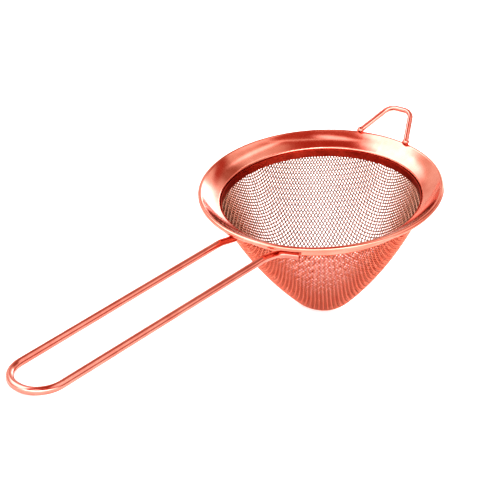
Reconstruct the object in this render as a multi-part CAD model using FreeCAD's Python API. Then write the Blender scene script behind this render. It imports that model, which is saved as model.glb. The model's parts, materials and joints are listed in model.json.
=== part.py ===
import FreeCAD, Part
import math
import os

# A conical fine-mesh strainer for cocktails: a pressed rim with a rolled bead, a woven wire bowl
# held in the rim by a retaining band, a bent wire handle and a small wire rest opposite it.
#
# Driving dimensions are in millimetres and degrees. They are stated in the bowl's own frame: the
# origin is on the bowl's axis at the top of the rim, +Z runs up that axis and the handle leaves
# towards -X. The finished strainer is then laid down the way it rests on a table.

RIM_DIAMETER = 85.0
BEAD_RADIUS = 0.84
SHEET = 0.4
CURL_TURN = 280.0
FLANGE_OUTER_SLOPE = 46.0
FLANGE_INNER_SLOPE = 22.0
FLANGE_RADIUS = 16.2
SKIRT_BEND_RADIUS = 0.6
SKIRT_BOTTOM = -7.0

CLOTH = 0.2
BAND_SHEET = 0.3
BAND_TOP = -4.95
BAND_BOTTOM = -7.6
CLOTH_TOP = -5.2

BOWL_DEPTH = 50.8
BOWL_NOSE_RADIUS = 14.3
BOWL_FLANK_RADIUS = 140.0
NOSE_FLAT = 0.65

HANDLE_WIRE = 2.4
HANDLE_BEND_X = -44.0
HANDLE_BEND_Z = -4.12
HANDLE_BEND_RADIUS = 8.0
HANDLE_RISE = 4.92
HANDLE_END_X = -136.4
HANDLE_ROOT_HALF_SPACING = 9.0
HANDLE_END_HALF_SPACING = 8.25
HANDLE_END_RADIUS = 8.0
FOOT_Z = -6.5
FOOT_ANGLE = 20.0
FOOT_REACH = 3.0
FOOT_BEND_RADIUS = 3.0

REST_WIRE = 2.0
REST_ROOT = (40.35, 9.8, 0.75)
REST_CORNER = (52.7, 4.6, 6.5)
REST_CORNER_RADIUS = 4.2

REST_WELD_RADIUS = 1.3
HANDLE_WELD_RADIUS = 0.8
HANDLE_WELD_HEIGHT = 1.05
HANDLE_WELD_SPAN = 6.0

RIM_RADIUS = RIM_DIAMETER / 2
BEAD_CENTRE = (RIM_RADIUS - BEAD_RADIUS, -BEAD_RADIUS)
AXIS = FreeCAD.Vector(0, 0, 1)
ORIGIN = FreeCAD.Vector(0, 0, 0)


def in_section(radius, height):
    """A point of the half section, which lies in the XZ plane."""
    return FreeCAD.Vector(radius, 0, height)


def heading(degrees):
    """The unit direction in the half section at an angle from the outward radius."""
    angle = math.radians(degrees)
    return in_section(math.cos(angle), math.sin(angle))


def spin(section_wire):
    """The solid swept by a closed half section turning once about the bowl's axis."""
    return Part.Face(section_wire).revolve(ORIGIN, AXIS, 360)


def sheet_section(start, direction, moves, thickness):
    """The closed outline of bent sheet. It follows a centre line that starts at a point in a
    direction and makes straight moves (length, 0) and bends (radius, turn)."""
    sides = {}
    for side in (1, -1):
        point = FreeCAD.Vector(start)
        angle = direction
        edges = []
        for size, turn in moves:
            offset = heading(angle + 90) * (side * thickness / 2)
            if turn == 0:
                end = point + heading(angle) * size
                edges.append(Part.LineSegment(point + offset, end + offset))
                point = end
                continue
            hand = math.copysign(1, turn)
            centre = point + heading(angle + 90 * hand) * size
            corners = []
            for share in (0, 0.5, 1):
                spoke = heading(angle + share * turn - 90 * hand)
                corners.append(centre + spoke * (size - hand * side * thickness / 2))
            edges.append(Part.Arc(*corners))
            point = centre + heading(angle + turn - 90 * hand) * size
            angle += turn
        sides[side] = edges
    left = sides[1]
    right = sides[-1]
    start_cap = Part.LineSegment(right[0].StartPoint, left[0].StartPoint)
    end_cap = Part.LineSegment(left[-1].EndPoint, right[-1].EndPoint)
    outline = [start_cap] + left + [end_cap] + right[::-1]
    return Part.Wire(Part.__sortEdges__([piece.toShape() for piece in outline]))


def flange_moves(skirt_length):
    """The rim's section from the free end of the curl, over the bead and down the skirt."""
    return [(BEAD_RADIUS - SHEET / 2, CURL_TURN),
            (FLANGE_RADIUS, FLANGE_INNER_SLOPE - FLANGE_OUTER_SLOPE),
            (SKIRT_BEND_RADIUS, 90 - FLANGE_INNER_SLOPE),
            (skirt_length, 0)]


def bend_end():
    """The point where the flange has turned down and the straight skirt starts."""
    tip = in_section(*BEAD_CENTRE) + heading(90 + FLANGE_OUTER_SLOPE) * (BEAD_RADIUS - SHEET / 2)
    flange_centre = tip + heading(90 + FLANGE_OUTER_SLOPE) * FLANGE_RADIUS
    inner = flange_centre - heading(90 + FLANGE_INNER_SLOPE) * FLANGE_RADIUS
    bend_centre = inner - heading(90 + FLANGE_INNER_SLOPE) * SKIRT_BEND_RADIUS
    return bend_centre - in_section(SKIRT_BEND_RADIUS, 0)


SKIRT_RADIUS = bend_end().x
CLOTH_RADIUS = SKIRT_RADIUS - SHEET / 2 - CLOTH / 2


def rim_flange():
    """A dished ring pressed from sheet, its outer edge curled into a bead, its inner edge turned
    down as a short skirt."""
    curl_start = 90 + FLANGE_OUTER_SLOPE - CURL_TURN
    start = in_section(*BEAD_CENTRE) + heading(curl_start) * (BEAD_RADIUS - SHEET / 2)
    moves = flange_moves(bend_end().z - SKIRT_BOTTOM)
    return spin(sheet_section(start, curl_start + 90, moves, SHEET))


def ring(inner_radius, outer_radius, bottom, top):
    """A plain ring about the bowl's axis."""
    corners = [in_section(inner_radius, bottom), in_section(outer_radius, bottom),
               in_section(outer_radius, top), in_section(inner_radius, top)]
    return spin(Part.makePolygon(corners + corners[:1]))


def retaining_band():
    """The strip inside the bowl that presses the cloth's edge against the skirt."""
    outer = CLOTH_RADIUS - CLOTH / 2
    return ring(outer - BAND_SHEET, outer, BAND_BOTTOM, BAND_TOP)


def flank_centre():
    """The centre of the bowl's flank arc, which starts at the band's lower edge and runs into the
    nose's sphere without a corner."""
    start = in_section(CLOTH_RADIUS, BAND_BOTTOM)
    nose = in_section(0, BOWL_NOSE_RADIUS - BOWL_DEPTH)
    span = nose.distanceToPoint(start)
    to_nose = BOWL_FLANK_RADIUS - BOWL_NOSE_RADIUS
    along = (BOWL_FLANK_RADIUS ** 2 - to_nose ** 2 + span ** 2) / (2 * span)
    aside = math.sqrt(BOWL_FLANK_RADIUS ** 2 - along ** 2)
    forward = (nose - start) / span
    sideways = in_section(forward.z, -forward.x)
    return start + forward * along + sideways * aside


def bowl_body(offset, floor_height):
    """The filled shape of the bowl, its surface moved outwards by an offset and its nose cut off
    flat at a height over the table."""
    centre = flank_centre()
    nose = in_section(0, BOWL_NOSE_RADIUS - BOWL_DEPTH)
    inward = (nose - centre).normalize()
    flank_radius = BOWL_FLANK_RADIUS + offset
    nose_radius = BOWL_NOSE_RADIUS + offset
    start = in_section(CLOTH_RADIUS, BAND_BOTTOM)
    outward = (start - centre).normalize()
    shoulder = centre + outward * flank_radius
    middle = centre + (outward + inward).normalize() * flank_radius
    joint = nose + inward * nose_radius
    tip = nose - AXIS * nose_radius
    round_off = nose + (inward - AXIS).normalize() * nose_radius
    brim = in_section(CLOTH_RADIUS + offset, CLOTH_TOP)
    outline = [Part.Arc(shoulder, middle, joint),
               Part.Arc(joint, round_off, tip),
               Part.LineSegment(tip, in_section(0, CLOTH_TOP)),
               Part.LineSegment(in_section(0, CLOTH_TOP), brim),
               Part.LineSegment(brim, shoulder)]
    edges = Part.__sortEdges__([piece.toShape() for piece in outline])
    table = Part.makeBox(4 * RIM_DIAMETER, 4 * RIM_DIAMETER, RIM_DIAMETER)
    table.translate(FreeCAD.Vector(-2 * RIM_DIAMETER, -2 * RIM_DIAMETER, -RIM_DIAMETER))
    table.translate(FreeCAD.Vector(0, 0, nose_floor() + floor_height))
    table.rotate(ORIGIN, FreeCAD.Vector(0, 1, 0), rest_tilt())
    return spin(Part.Wire(edges)).cut(table)


def mesh_bowl():
    """The woven wire cloth as one thin closed shell of the cloth's own mass. Its flattened nose is
    the spot that it rests on."""
    return bowl_body(CLOTH / 2, 0).cut(bowl_body(-CLOTH / 2, CLOTH))


def rod_height(x):
    """The height of the handle's centre line, which climbs a little towards its end."""
    return HANDLE_BEND_Z + (HANDLE_BEND_X - x) * math.tan(math.radians(HANDLE_RISE))


def rest_tilt():
    """The angle that the bowl's axis leans from upright when the strainer lies on its nose and on
    the end of its handle."""
    nose_drop = BOWL_NOSE_RADIUS - BOWL_DEPTH - rod_height(HANDLE_END_X)
    reach = -HANDLE_END_X
    level = BOWL_NOSE_RADIUS + CLOTH / 2 - NOSE_FLAT - HANDLE_WIRE / 2
    lean = math.asin(level / math.hypot(reach, nose_drop))
    return math.degrees(lean - math.atan2(nose_drop, reach))


def nose_floor():
    """The table's distance below the origin, measured square to the table."""
    nose_height = (BOWL_NOSE_RADIUS - BOWL_DEPTH) * math.cos(math.radians(rest_tilt()))
    return nose_height - BOWL_NOSE_RADIUS - CLOTH / 2 + NOSE_FLAT


def bent_wire(points, radii, diameter):
    """Round wire along straight runs, with a bend of a given radius at each inner point."""
    edges = []
    start = points[0]
    for corner, after, radius in zip(points[1:-1], points[2:], radii):
        back = (start - corner).normalize()
        onward = (after - corner).normalize()
        half = back.getAngle(onward) / 2
        setback = radius / math.tan(half)
        centre = corner + (back + onward).normalize() * (radius / math.sin(half))
        middle = centre + (corner - centre).normalize() * radius
        first = corner + back * setback
        last = corner + onward * setback
        edges.append(Part.LineSegment(start, first).toShape())
        edges.append(Part.Arc(first, middle, last).toShape())
        start = last
    edges.append(Part.LineSegment(start, points[-1]).toShape())
    path = Part.Wire(edges)
    circle = Part.Circle(points[0], points[1] - points[0], diameter / 2)
    section = Part.Wire([circle.toShape()])
    return path.makePipeShell([section], True, False)


def mirrored(points):
    """A path that runs down one side and comes back along the other side of the XZ plane."""
    return points + [FreeCAD.Vector(p.x, -p.y, p.z) for p in reversed(points)]


def handle_half():
    """The handle's corners on one side, from the foot on the skirt to the corner at its end."""
    foot_radius = SKIRT_RADIUS + SHEET / 2 + HANDLE_WIRE / 2
    angle = math.radians(FOOT_ANGLE)
    along_skirt = FreeCAD.Vector(math.sin(angle), math.cos(angle), 0)
    touch = FreeCAD.Vector(-foot_radius * math.cos(angle), foot_radius * math.sin(angle), FOOT_Z)
    run_up = (touch.y - HANDLE_ROOT_HALF_SPACING) / along_skirt.y
    return [touch + along_skirt * FOOT_REACH,
            touch - along_skirt * run_up,
            FreeCAD.Vector(HANDLE_BEND_X, HANDLE_ROOT_HALF_SPACING, HANDLE_BEND_Z),
            FreeCAD.Vector(HANDLE_END_X, HANDLE_END_HALF_SPACING, rod_height(HANDLE_END_X))]


def handle_wire():
    """One wire bent into a long loop; its two feet turn aside along the skirt."""
    bends = [FOOT_BEND_RADIUS, HANDLE_BEND_RADIUS, HANDLE_END_RADIUS]
    return bent_wire(mirrored(handle_half()), bends + bends[::-1], HANDLE_WIRE)


def bead_envelope():
    """The rolled bead as a filled ring, which the rest's wire and welds are shaped to."""
    return Part.makeTorus(BEAD_CENTRE[0], BEAD_RADIUS, in_section(0, BEAD_CENTRE[1]), AXIS)


def rest_wire():
    """The rest's bent wire before its ends are shaped to the bead."""
    half = [FreeCAD.Vector(*REST_ROOT), FreeCAD.Vector(*REST_CORNER)]
    return bent_wire(mirrored(half), [REST_CORNER_RADIUS] * 2, REST_WIRE)


def rest_loop():
    """The small loop opposite the handle that hooks over the far side of a glass."""
    return rest_wire().cut(bead_envelope())


def rest_welds():
    """A collar of weld round each end of the rest."""
    collars = []
    for side in (1, -1):
        root = FreeCAD.Vector(REST_ROOT[0], side * REST_ROOT[1], REST_ROOT[2])
        ball = Part.makeSphere(REST_WELD_RADIUS, root)
        collars.append(ball.cut(bead_envelope()).cut(rest_wire()))
    return Part.makeCompound([collar.Solids[0] for collar in collars])


def handle_welds():
    """A bead of weld in the corner over each foot of the handle."""
    skirt_face = SKIRT_RADIUS + SHEET / 2
    centre = in_section(skirt_face + HANDLE_WELD_RADIUS / 2, FOOT_Z + HANDLE_WELD_HEIGHT)
    circle = Part.Circle(centre, FreeCAD.Vector(0, 1, 0), HANDLE_WELD_RADIUS)
    section = Part.Face(Part.Wire([circle.toShape()]))
    handle = handle_wire()
    flange = rim_flange()
    beads = []
    for side in (1, -1):
        first = 180 - side * FOOT_ANGLE - HANDLE_WELD_SPAN / 2
        bead = section.revolve(ORIGIN, AXIS, HANDLE_WELD_SPAN)
        bead.rotate(ORIGIN, AXIS, first)
        inside = Part.makeCylinder(skirt_face, RIM_DIAMETER, in_section(0, -RIM_DIAMETER), AXIS)
        beads.append(bead.cut(inside).cut(handle).cut(flange))
    return Part.makeCompound([max(bead.Solids, key=lambda s: s.Volume) for bead in beads])


def build():
    """Every node in the bowl's frame."""
    return {"rim_flange": rim_flange(),
            "retaining_band": retaining_band(),
            "mesh_bowl": mesh_bowl(),
            "handle_wire": handle_wire(),
            "handle_welds": handle_welds(),
            "rest_loop": rest_loop(),
            "rest_welds": rest_welds()}


def lay_down(nodes):
    """Lean every node to its place on the table, the origin below the middle of the whole."""
    whole = FreeCAD.BoundBox()
    for shape in nodes.values():
        shape.rotate(ORIGIN, FreeCAD.Vector(0, 1, 0), -rest_tilt())
        whole.add(shape.optimalBoundingBox(False))
    shift = FreeCAD.Vector(-whole.Center.x, -whole.Center.y, -nose_floor())
    for shape in nodes.values():
        shape.translate(shift)
    return shift


nodes = build()
shift = lay_down(nodes)
os.makedirs("parts", exist_ok=True)
for name, shape in nodes.items():
    shape.exportStep("parts/" + name + ".step")
    box = shape.optimalBoundingBox(False)
    print(name, shape.isValid(), "solids", len(shape.Solids), "volume", round(shape.Volume, 2),
          "height", round(box.ZMin, 3), round(box.ZMax, 3), "along", round(box.XMin, 2), round(box.XMax, 2))
print("tilt", round(rest_tilt(), 3), "shift", shift)
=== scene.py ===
import json
import math

import bpy
import numpy as np
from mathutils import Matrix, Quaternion, Vector


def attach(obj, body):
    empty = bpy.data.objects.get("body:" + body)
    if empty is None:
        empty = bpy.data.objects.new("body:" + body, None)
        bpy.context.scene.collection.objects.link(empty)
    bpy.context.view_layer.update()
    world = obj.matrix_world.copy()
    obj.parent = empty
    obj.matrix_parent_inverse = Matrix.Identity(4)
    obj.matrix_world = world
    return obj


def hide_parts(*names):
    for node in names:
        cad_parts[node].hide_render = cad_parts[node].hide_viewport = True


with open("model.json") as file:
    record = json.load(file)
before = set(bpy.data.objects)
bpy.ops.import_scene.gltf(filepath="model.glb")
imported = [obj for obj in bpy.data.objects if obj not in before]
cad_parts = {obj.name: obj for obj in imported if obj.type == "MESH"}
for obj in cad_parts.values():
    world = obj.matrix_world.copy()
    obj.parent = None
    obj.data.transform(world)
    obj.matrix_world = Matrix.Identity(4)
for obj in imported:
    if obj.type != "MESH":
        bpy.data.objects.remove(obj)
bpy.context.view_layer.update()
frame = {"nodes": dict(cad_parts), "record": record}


# ---- The pressed rim -------------------------------------------------------------------------
# A dished ring of stainless steel sheet, deep drawn, its outer edge rolled over into a bead and
# its inner edge turned down as a skirt. It is plated with copper, then buffed as it spins.

MM = 0.001
SEAT_DROP = 4.0

seat = next(m for m in frame["record"]["mounts"] if m["name"] == "rim_seat")
down_bowl = Vector(seat["axis"]).normalized()
rim_centre = np.array(Vector(seat["pos_m"]) - down_bowl * SEAT_DROP * MM) / MM
lean = math.atan2(down_bowl.x, -down_bowl.z)


def finish_colour(hex_colour):
    """The linear colour of an sRGB hex value."""
    channels = [int(hex_colour[i:i + 2], 16) / 255 for i in (1, 3, 5)]
    linear = [c / 12.92 if c <= 0.04045 else ((c + 0.055) / 1.055) ** 2.4 for c in channels]
    return (*linear, 1.0)


def add_node(tree, kind, settings=None, links=None):
    """Adds a node, sets its properties and inputs, and joins its inputs to other nodes' outputs."""
    node = tree.nodes.new(kind)
    for name, value in (settings or {}).items():
        if isinstance(name, str) and hasattr(node, name):
            setattr(node, name, value)
        else:
            node.inputs[name].default_value = value
    for name, output in (links or {}).items():
        tree.links.new(output, node.inputs[name])
    return node


def plated_copper(name, light, deep, roughness, haze, patch_mm, marks_mm, mark_depth_mm, turned):
    """Copper plate over steel. Its tone drifts between two shades, and a thin haze makes it rougher
    in patches. The marks of its finishing are waves in the surface, all round it or, where it was
    turned, in rings about the bowl's axis."""
    material = bpy.data.materials.new(name)
    material.use_nodes = True
    tree = material.node_tree
    shader = tree.nodes["Principled BSDF"]
    shader.inputs["Metallic"].default_value = 1.0
    place = add_node(tree, "ShaderNodeTexCoord").outputs["Object"]
    patches = add_node(tree, "ShaderNodeTexNoise",
                       {"Scale": 1 / (patch_mm * MM), "Detail": 3.0, "Roughness": 0.6},
                       {"Vector": place})
    tone = add_node(tree, "ShaderNodeValToRGB", links={"Fac": patches.outputs["Fac"]})
    tone.color_ramp.elements[0].position = 0.36
    tone.color_ramp.elements[0].color = finish_colour(deep)
    tone.color_ramp.elements[1].position = 0.64
    tone.color_ramp.elements[1].color = finish_colour(light)
    hazed = add_node(tree, "ShaderNodeMapRange",
                     {"From Min": 0.3, "From Max": 0.7, "To Min": roughness, "To Max": roughness + haze},
                     {"Value": patches.outputs["Fac"]})
    spot = place
    if turned:
        on_axis = add_node(tree, "ShaderNodeMapping",
                           {"vector_type": "TEXTURE", "Location": rim_centre * MM,
                            "Rotation": (0, -lean, 0)}, {"Vector": place})
        parts = add_node(tree, "ShaderNodeSeparateXYZ", links={"Vector": on_axis.outputs["Vector"]})
        flat = add_node(tree, "ShaderNodeCombineXYZ",
                        links={"X": parts.outputs["X"], "Y": parts.outputs["Y"]})
        radius = add_node(tree, "ShaderNodeVectorMath", {"operation": "LENGTH"},
                          {0: flat.outputs["Vector"]})
        rings = add_node(tree, "ShaderNodeCombineXYZ",
                         links={"X": radius.outputs["Value"], "Y": parts.outputs["Z"]})
        spot = rings.outputs["Vector"]
    marks = add_node(tree, "ShaderNodeTexNoise", {"Scale": 1 / (marks_mm * MM), "Detail": 2.0},
                     {"Vector": spot})
    relief = add_node(tree, "ShaderNodeBump", {"Strength": 1.0, "Distance": mark_depth_mm * MM},
                      {"Height": marks.outputs["Fac"]})
    tree.links.new(tone.outputs["Color"], shader.inputs["Base Color"])
    tree.links.new(hazed.outputs["Result"], shader.inputs["Roughness"])
    tree.links.new(relief.outputs["Normal"], shader.inputs["Normal"])
    return material


# Copper plate buffed on a turning wheel: a pink mirror, a little soft, with rings in it too shallow
# to see one by one. Buffing rings are 0.05 mm apart, and are drawn 1 mm apart to show at all.
polished_copper = plated_copper("polished_copper_plate", "#E2A291", "#D78F7D", roughness=0.13, haze=0.05,
                                patch_mm=14, marks_mm=1.0, mark_depth_mm=0.0005, turned=True)
frame["nodes"]["rim_flange"].data.materials[0] = polished_copper


# ---- The woven wire bowl ---------------------------------------------------------------------
# Stainless steel wire cloth in plain weave, copper plated and pressed into a blunt cone. The
# pressing stretches its cells most at the nose, and turns them from squares into diamonds between
# the two directions of the weave. Its edge is clamped between the skirt and the band.

WIRE = 0.42
WIRE_SIDES = 6
WIRES_EACH_WAY = 62
SETTLING_STEPS = 6
CELL_AT_NOSE = 1.45
CELL_AT_RIM = 1.07
CLOTH_TURN = math.radians(-9.0)
BOWL_DEPTH = 50.8
NOSE_RADIUS = 14.3
FLANK_RADIUS = 140.0
MOUTH_RADIUS = 34.94
MOUTH_DROP = 7.6
CLOTH_END_DROP = 6.2

bowl_axes = np.array([[math.cos(lean), 0, math.sin(lean)],
                      [0, 1, 0],
                      [-math.sin(lean), 0, math.cos(lean)]])


def in_row(spots):
    """Places stated on the bowl's own axis, origin at the top of the rim, in the row's frame."""
    return spots @ bowl_axes + rim_centre


nose_centre = np.array([0.0, NOSE_RADIUS - BOWL_DEPTH])


def flank_arc():
    """The centre of the flank's arc, and the slopes at which it meets the nose and the mouth."""
    mouth = np.array([MOUTH_RADIUS, -MOUTH_DROP])
    span = np.linalg.norm(nose_centre - mouth)
    to_nose = FLANK_RADIUS - NOSE_RADIUS
    along = (FLANK_RADIUS ** 2 - to_nose ** 2 + span ** 2) / (2 * span)
    forward = (nose_centre - mouth) / span
    aside = np.array([forward[1], -forward[0]]) * math.sqrt(FLANK_RADIUS ** 2 - along ** 2)
    centre = mouth + forward * along + aside
    slopes = [math.atan2(out, -up) for out, up in (nose_centre - centre, mouth - centre)]
    return centre, *slopes


flank_centre, joint_slope, mouth_slope = flank_arc()


def off_cloth(spots):
    """How far places are outside the cloth's middle surface, and the outward direction there."""
    radius = np.maximum(np.hypot(spots[..., 0], spots[..., 1]), 1e-9)
    section = np.stack([radius, spots[..., 2]], -1)
    from_nose = section - nose_centre
    from_flank = section - flank_centre
    nose_slope = np.arctan2(from_nose[..., 0], -from_nose[..., 1])
    flank_slope = np.arctan2(from_flank[..., 0], -from_flank[..., 1])
    slope = np.where(nose_slope < joint_slope, nose_slope,
                     np.where(flank_slope < mouth_slope, flank_slope, math.pi / 2))
    gap = np.where(nose_slope < joint_slope, np.linalg.norm(from_nose, axis=-1) - NOSE_RADIUS,
                   np.where(flank_slope < mouth_slope, np.linalg.norm(from_flank, axis=-1) - FLANK_RADIUS,
                            radius - MOUTH_RADIUS))
    outward = np.stack([np.sin(slope) * spots[..., 0] / radius, np.sin(slope) * spots[..., 1] / radius,
                        -np.cos(slope)], -1)
    return gap, outward


def cell_side(height):
    """The length of a cell's side at a height on the bowl."""
    up = np.clip((height + BOWL_DEPTH) / (BOWL_DEPTH - MOUTH_DROP), 0, 1)
    return CELL_AT_NOSE + (CELL_AT_RIM - CELL_AT_NOSE) * up


def straight_wire(azimuth, count):
    """The crossings of a wire that runs straight up the bowl from the tip of the nose."""
    heading = np.array([math.cos(azimuth), math.sin(azimuth), 0.0])
    spots = [np.array([0.0, 0.0, -BOWL_DEPTH])]
    run = heading
    for _ in range(count):
        ahead = spots[-1] + run * cell_side(spots[-1][2])
        gap, outward = off_cloth(ahead)
        ahead = ahead - gap * outward
        run = (ahead - spots[-1]) / np.linalg.norm(ahead - spots[-1])
        spots.append(ahead)
    return spots


def next_crossings(left, right, behind):
    """The crossings one cell's side from both neighbours, on the cloth, away from those behind."""
    spots = left + right - behind
    for _ in range(SETTLING_STEPS):
        gap, outward = off_cloth(spots)
        to_left = spots - left
        to_right = spots - right
        miss = np.stack([(to_left ** 2).sum(-1) - cell_side((left + spots)[:, 2] / 2) ** 2,
                         (to_right ** 2).sum(-1) - cell_side((right + spots)[:, 2] / 2) ** 2, gap], -1)
        slopes = np.stack([2 * to_left, 2 * to_right, outward], 1)
        spots = spots - np.linalg.solve(slopes, miss[..., None])[..., 0]
    return spots


def draped_net():
    """Every crossing of the cloth, as a grid by warp wire and weft wire. The grid is filled outward
    from the two straight wires through the nose, one diagonal row of a quarter at a time."""
    count = WIRES_EACH_WAY
    net = np.full((2 * count + 1, 2 * count + 1, 3), np.nan)
    for turn, (i, j) in enumerate(((1, 0), (0, 1), (-1, 0), (0, -1))):
        for step, spot in enumerate(straight_wire(CLOTH_TURN + turn * math.pi / 2, count)):
            net[count + i * step, count + j * step] = spot
    for i in (1, -1):
        for j in (1, -1):
            for row in range(2, 2 * count):
                a = np.arange(max(1, row - count), min(count, row - 1) + 1)
                b = row - a
                left = net[count + i * (a - 1), count + j * b]
                right = net[count + i * a, count + j * (b - 1)]
                behind = net[count + i * (a - 1), count + j * (b - 1)]
                ready = np.isfinite(left + right + behind).all(-1) & (np.minimum(left, right)[:, 2] < 0)
                if ready.any():
                    a, b = a[ready], b[ready]
                    net[count + i * a, count + j * b] = next_crossings(left[ready], right[ready],
                                                                       behind[ready])
    net[np.nan_to_num(net[..., 2], nan=1.0) > 0] = np.nan
    return net


def crimped(net, over):
    """The centre line of each wire along the net's first axis. Each wire passes over and under the
    wires that cross it, and ends where the skirt covers it."""
    wires = []
    for number in range(net.shape[1]):
        nodes = net[:, number]
        inside = np.flatnonzero(np.nan_to_num(nodes[:, 2], nan=1.0) < -CLOTH_END_DROP)
        if len(inside) < 2:
            continue
        first, last = inside[0], inside[-1]
        steps = np.arange(2 * first, 2 * last + 1) / 2
        spots = (nodes[np.floor(steps).astype(int)] + nodes[np.ceil(steps).astype(int)]) / 2
        wave = np.cos(math.pi * (steps + number + over)) * WIRE / 2
        for end, beyond, at in ((first, first - 1, 0), (last, last + 1, len(spots))):
            if 0 <= beyond < len(nodes) and np.isfinite(nodes[beyond, 2]):
                share = (-CLOTH_END_DROP - nodes[end, 2]) / (nodes[beyond, 2] - nodes[end, 2])
                spots = np.insert(spots, at, nodes[end] + (nodes[beyond] - nodes[end]) * share, 0)
                wave = np.insert(wave, at, 0)
        outward = off_cloth(spots)[1]
        line = in_row(spots + outward * wave[:, None])
        line[:, 2] = np.maximum(line[:, 2], WIRE - wave)
        wires.append((line, outward @ bowl_axes))
    return wires


def round_wires(name, wires, radius, sides):
    """One mesh of round wire along every centre line."""
    around = np.arange(sides) * 2 * math.pi / sides
    points = []
    faces = []
    base = 0
    for line, outward in wires:
        run = np.gradient(line, axis=0)
        run /= np.linalg.norm(run, axis=1)[:, None]
        side = np.cross(outward, run)
        side /= np.linalg.norm(side, axis=1)[:, None]
        top = np.cross(run, side)
        rings = (line[:, None] + radius * np.cos(around)[:, None] * top[:, None]
                 + radius * np.sin(around)[:, None] * side[:, None])
        first = base + np.arange(len(line) - 1)[:, None] * sides + np.arange(sides)
        base += len(line) * sides
        after = np.roll(first, -1, axis=1)
        points.append(rings.reshape(-1, 3))
        faces.append(np.stack([first, first + sides, after + sides, after], -1).reshape(-1, 4))
    return solid(name, np.concatenate(points), np.concatenate(faces))


def solid(name, points, faces):
    """An object from points in millimetres and faces of four corners, shaded smooth."""
    mesh = bpy.data.meshes.new(name)
    mesh.from_pydata((points * MM).tolist(), [], faces.tolist())
    mesh.shade_smooth()
    piece = bpy.data.objects.new(name, mesh)
    bpy.context.scene.collection.objects.link(piece)
    return piece


# Fine wire, plated after weaving: each wire shows a narrow highlight and a dark side, and a dull film
# where the plating bath left the crossings. The film is drawn as patches 2 mm wide. The sides of the wires
# that face the bowl's mouth are painted greyer and darker, as painted shade inside the bowl.
INNER_SHADE_OVER = 14.0
woven_copper = plated_copper("woven_copper_wire", "#DE9882", "#D07C66", roughness=0.20, haze=0.08,
                             patch_mm=2, marks_mm=1.0, mark_depth_mm=0.0, turned=False)
plated = woven_copper.node_tree
shader = plated.nodes["Principled BSDF"]
spot = add_node(plated, "ShaderNodeTexCoord")
from_mouth = add_node(plated, "ShaderNodeVectorMath", {"operation": "SUBTRACT", 1: rim_centre * MM},
                      {0: spot.outputs["Object"]})
outward = add_node(plated, "ShaderNodeVectorMath", {"operation": "DOT_PRODUCT"},
                   {0: from_mouth.outputs["Vector"], 1: spot.outputs["Normal"]})
inner_shade_share = add_node(plated, "ShaderNodeMapRange", {"From Min": 0.0, "From Max": -INNER_SHADE_OVER * MM},
                    {"Value": outward.outputs["Value"]})
# Painted shade: wire sides that face into the bowl are mixed toward a darker grey brown.
painted_inner_shade = add_node(plated, "ShaderNodeMix", {"data_type": "RGBA", 7: finish_colour("#9C8474")},
                      {0: inner_shade_share.outputs["Result"], 6: shader.inputs["Base Color"].links[0].from_socket})
plated.links.new(painted_inner_shade.outputs[2], shader.inputs["Base Color"])
net = draped_net()
for name, crossings, over in (("bowl_warp_wires", net, 0), ("bowl_weft_wires", net.transpose(1, 0, 2), 1)):
    wires = round_wires(name, crimped(crossings, over), WIRE / 2, WIRE_SIDES)
    wires.data.materials.append(woven_copper)
    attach(wires, "root")
    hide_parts("mesh_bowl")


# ---- The retaining band ----------------------------------------------------------------------
# A strip of thin sheet bent into a ring and pressed out against the inside of the skirt, with the
# edge of the cloth clamped between the two. It is plated with the rest and left satin as rolled.

# Copper plate over rolled strip: satin and duller, with fine lines running round it. Its pink is painted
# darker and redder than the rim's, as painted shade for where it sits under the flange.
# Rolling lines are 0.03 mm apart, and are drawn 0.3 mm apart so that they show.
shaded_satin_copper = plated_copper("satin_copper_strip", "#CA604C", "#B04A3A", roughness=0.28, haze=0.08,
                             patch_mm=9, marks_mm=0.3, mark_depth_mm=0.004, turned=True)
frame["nodes"]["retaining_band"].data.materials[0] = shaded_satin_copper


# ---- The handle ------------------------------------------------------------------------------
# One length of stainless steel rod bent into a long loop, its two ends turned aside along the
# skirt. It is plated with copper and buffed along its length.

# Copper plate on drawn rod: a bright pink polish that draws one long highlight down each side. The
# hand buffing leaves it wavy every 6 mm or so, which makes the highlight swell and thin.
buffed_copper = plated_copper("buffed_copper_rod", "#DC9C8E", "#D08A7C", roughness=0.08, haze=0.04,
                              patch_mm=8, marks_mm=6.0, mark_depth_mm=0.002, turned=False)
frame["nodes"]["handle_wire"].data.materials[0] = buffed_copper


# ---- The handle's welds ----------------------------------------------------------------------
# Two beads of weld that join the rod's ends to the outside of the skirt, plated over with
# everything else.

# Copper plate over a weld: the same pink, darker and duller, on a surface rippled every 0.8 mm.
plated_weld = plated_copper("plated_weld", "#DA9486", "#C47868", roughness=0.20, haze=0.10,
                            patch_mm=2, marks_mm=0.8, mark_depth_mm=0.02, turned=False)
frame["nodes"]["handle_welds"].data.materials[0] = plated_weld


# ---- The rest ---------------------------------------------------------------------------------
# A shorter loop of the same rod, opposite the handle, which hooks over the far side of a glass. It
# is bent, plated and buffed as the handle is.

frame["nodes"]["rest_loop"].data.materials[0] = buffed_copper


# ---- The rest's welds --------------------------------------------------------------------------
# Two small collars of weld that join the ends of the rest to the edge of the rim, plated over as
# the handle's welds are.

frame["nodes"]["rest_welds"].data.materials[0] = plated_weld


# ---- The table, the light and the camera -------------------------------------------------------
# A white table in a tent of pale cloth. Soft boxes shine through it behind the camera, on the left
# and on the far side. Duller pink and cream sheets hang above, and low on the right, for the copper
# to reflect.

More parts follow.
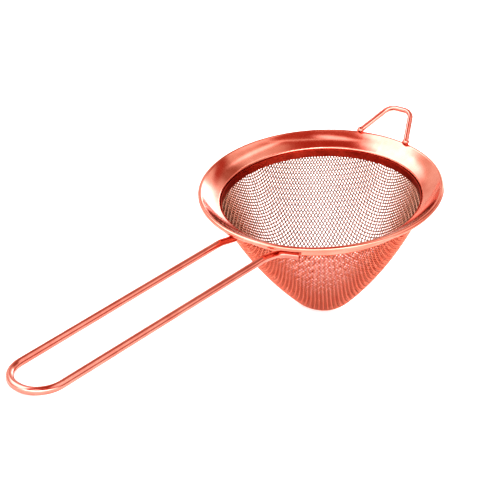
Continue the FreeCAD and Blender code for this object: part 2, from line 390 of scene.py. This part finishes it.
TENT_CLOTH = ("#FFFAF8", 0.74)
PATCH_DEPTH = 1.2
TENT_PATCHES = (
    # azimuth and height of the middle, half width, half height (degrees), edge, colour, strength
    (-158, 57, 46, 19, 0.30, "#F29886", 0.54),
    (140, 73, 50, 14, 0.30, "#F08C7A", 0.48),
    (20, 64, 42, 8, 0.40, "#ECC0B2", 0.48),
    (-18, 53, 16, 5, 0.50, "#F28A78", 0.46),
    (-50, 4, 44, 22, 0.40, "#F4E4DE", 0.56),
    (-60, 43, 18, 8, 0.40, "#FFFFFF", 1.00),
    (-150, 19, 62, 14, 0.35, "#F4F6FF", 3.00),
    (-150, 66.5, 44, 2.0, 0.60, "#FFFFFF", 0.90),
    (176, 57, 12, 5, 0.40, "#F4F6FF", 1.40),
    (-84, 53, 20, 6, 0.50, "#F4F6FF", 1.30),
    (-74, 73, 18, 4, 0.50, "#F4F6FF", 1.60),
    (14, 26, 14, 18, 0.40, "#F0F4FF", 2.40),
    (112, 48, 24, 13, 0.40, "#F0F4FF", 2.40),
    (138, 33, 24, 12, 0.40, "#F0F4FF", 2.20),
)

tent = bpy.data.worlds.new("light_tent")
bpy.context.scene.world = tent
tent.use_nodes = True
air = tent.node_tree
way = add_node(air, "ShaderNodeTexCoord").outputs["Generated"]
glow = None
# Each patch is where an ellipsoid, centred on the wall of the tent, cuts through it.
for azimuth, height, half_width, half_height, edge, colour, strength in TENT_PATCHES:
    turn = (0, -math.radians(height), math.radians(azimuth))
    middle = Vector((math.cos(turn[1]) * math.cos(turn[2]), math.cos(turn[1]) * math.sin(turn[2]),
                     -math.sin(turn[1])))
    size = (PATCH_DEPTH, math.sin(math.radians(half_width)), math.sin(math.radians(half_height)))
    near = add_node(air, "ShaderNodeMapping",
                    {"vector_type": "TEXTURE", "Location": middle, "Rotation": turn, "Scale": size},
                    {"Vector": way})
    away = add_node(air, "ShaderNodeVectorMath", {"operation": "LENGTH"}, {0: near.outputs["Vector"]})
    share = add_node(air, "ShaderNodeMapRange",
                     {"interpolation_type": "SMOOTHSTEP", "From Min": 1 + edge, "From Max": 1 - edge},
                     {"Value": away.outputs["Value"]})
    patch = add_node(air, "ShaderNodeMix", {"data_type": "RGBA"}, {0: share.outputs["Result"]})
    patch.inputs[6].default_value = [c * TENT_CLOTH[1] for c in finish_colour(TENT_CLOTH[0])]
    patch.inputs[7].default_value = [c * strength for c in finish_colour(colour)]
    if glow:
        air.links.new(glow, patch.inputs[6])
    glow = patch.outputs[2]
air.links.new(glow, air.nodes["Background"].inputs["Color"])

TABLE_HALF_WIDTH = 4000.0
TABLE_GAP = 0.05
half = TABLE_HALF_WIDTH * MM
table_mesh = bpy.data.meshes.new("table")
table_mesh.from_pydata([(-half, -half, 0), (half, -half, 0), (half, half, 0), (-half, half, 0)], [],
                       [(0, 1, 2, 3)])
table = bpy.data.objects.new("table", table_mesh)
table.location.z = -TABLE_GAP * MM
bpy.context.scene.collection.objects.link(table)
# Cast acrylic sheet, sanded matt and lit a little from below: plain white, with faint shadows.
acrylic = bpy.data.materials.new("sanded_acrylic_table")
acrylic.use_nodes = True
sheet = acrylic.node_tree.nodes["Principled BSDF"]
sheet.inputs["Base Color"].default_value = finish_colour("#F4F2F0")
sheet.inputs["Roughness"].default_value = 0.6
sheet.inputs["Emission Color"].default_value = finish_colour("#FFFFFF")
sheet.inputs["Emission Strength"].default_value = 0.25
table_mesh.materials.append(acrylic)

CAMERA_PLACE = (-263.53, -188.99, 117.36)
CAMERA_AIM = (6.25, 0.0, 27.5)
CAMERA_ROLL = math.radians(9.77)
FOCAL_LENGTH = 75.6
lens = bpy.data.cameras.new("studio_camera")
lens.lens = FOCAL_LENGTH
lens.sensor_width = 36.0
lens.clip_start = 0.01
camera = bpy.data.objects.new("studio_camera", lens)
bpy.context.scene.collection.objects.link(camera)
camera.location = Vector(CAMERA_PLACE) * MM
level = (Vector(CAMERA_AIM) - Vector(CAMERA_PLACE)).to_track_quat("-Z", "Y")
camera.rotation_mode = "QUATERNION"
camera.rotation_quaternion = level @ Quaternion((0, 0, 1), CAMERA_ROLL)
bpy.context.scene.camera = camera
bpy.context.scene.view_settings.view_transform = "Standard"
bpy.context.scene.view_settings.look = "Very High Contrast"
